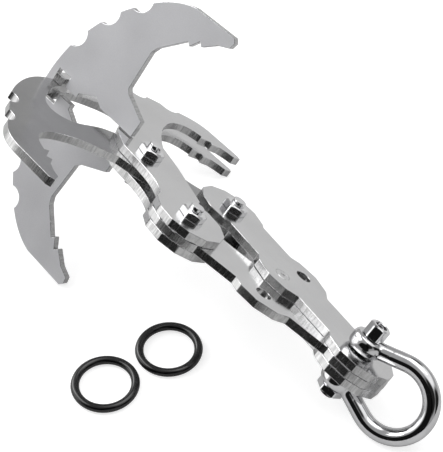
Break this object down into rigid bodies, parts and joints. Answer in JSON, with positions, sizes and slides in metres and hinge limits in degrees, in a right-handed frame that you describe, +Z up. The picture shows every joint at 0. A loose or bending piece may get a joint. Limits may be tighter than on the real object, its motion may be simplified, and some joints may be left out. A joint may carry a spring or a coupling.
{
  "type": "folding grapnel anchor",
  "caption": "Folding grapnel anchor of laser-cut steel plates: scissor-linked toothed jaws, a slotted cross claw plate, a bow shackle on the links and loose rubber O-rings.",
  "frame": {"origin": "on the floor that the anchor rests on, under the centre of its box", "axes": "+Z up from the floor; +X from the crown of the claws to the shackle along the floor; the shank slopes down towards +X and the plates lean 40 degrees"},
  "size_m": [0.184, 0.124, 0.0929],
  "materials": {
    "plate_steel": "satin laser-cut stainless plate",
    "jaw_steel": "satin laser-cut stainless plate, darker",
    "cross_plate_steel": "fine matt stainless plate",
    "polished_steel": "polished stainless",
    "ring_rubber": "glossy moulded rubber"
  },
  "bodies": {
    "crown": {"centre_bolt": "polished_steel", "centre_nut": "polished_steel", "cross_claw_plate": "cross_plate_steel"},
    "left_jaw": {"left_jaw": "jaw_steel", "right_side_bolt": "polished_steel", "right_side_nut": "polished_steel"},
    "right_jaw": {"right_jaw_upper": "plate_steel", "right_jaw_lower": "plate_steel", "left_side_bolt": "polished_steel", "left_side_nut": "polished_steel"},
    "left_link": {"left_link": "plate_steel"},
    "right_link": {"right_link_upper": "plate_steel", "right_link_lower": "plate_steel", "stop_rivet": "plate_steel"},
    "shackle": {"shackle_bow": "polished_steel", "shackle_pin": "polished_steel", "shackle_nut": "polished_steel"},
    "front_ring": {"o_ring_front": "ring_rubber"},
    "back_ring": {"o_ring_back": "ring_rubber"}
  },
  "joints": [
    {"name": "jaw_fold", "type": "hinge", "parent": "crown", "child": "left_jaw", "pos_m": [-0.0409, 0.00565, 0.04469], "axis": [0.2033, 0.6125, 0.7639], "range_deg": [0, 28]},
    {"name": "right_jaw_fold", "type": "hinge", "parent": "crown", "child": "right_jaw", "pos_m": [-0.0409, 0.00565, 0.04469], "axis": [0.2033, 0.6125, 0.7639], "range_deg": [-28, 0]},
    {"name": "right_link_fold", "type": "hinge", "parent": "left_jaw", "child": "right_link", "pos_m": [-0.01269, 0.01908, 0.02641], "axis": [0.2033, 0.6125, 0.7639], "range_deg": [-39.2, 0]},
    {"name": "left_link_fold", "type": "hinge", "parent": "right_jaw", "child": "left_link", "pos_m": [-0.00734, -0.00778, 0.04653], "axis": [0.2033, 0.6125, 0.7639], "range_deg": [0, 39.2]},
    {"name": "shackle_swing", "type": "hinge", "parent": "right_link", "child": "shackle", "pos_m": [0.0582, 0.00565, 0.01832], "axis": [0.2033, 0.6125, 0.7639], "range_deg": [-100, 100]},
    {"name": "front_ring_lift", "type": "slide", "parent": "crown", "child": "front_ring", "axis": [0, 0, 1], "range_m": [0, 0.02]},
    {"name": "back_ring_lift", "type": "slide", "parent": "crown", "child": "back_ring", "axis": [0, 0, 1], "range_m": [0, 0.02]}
  ],
  "couplings": [
    {"joint": "right_jaw_fold", "follows": "jaw_fold", "ratio": -1},
    {"joint": "right_link_fold", "follows": "jaw_fold", "ratio": -1.4},
    {"joint": "left_link_fold", "follows": "jaw_fold", "ratio": 1.4}
  ]
}
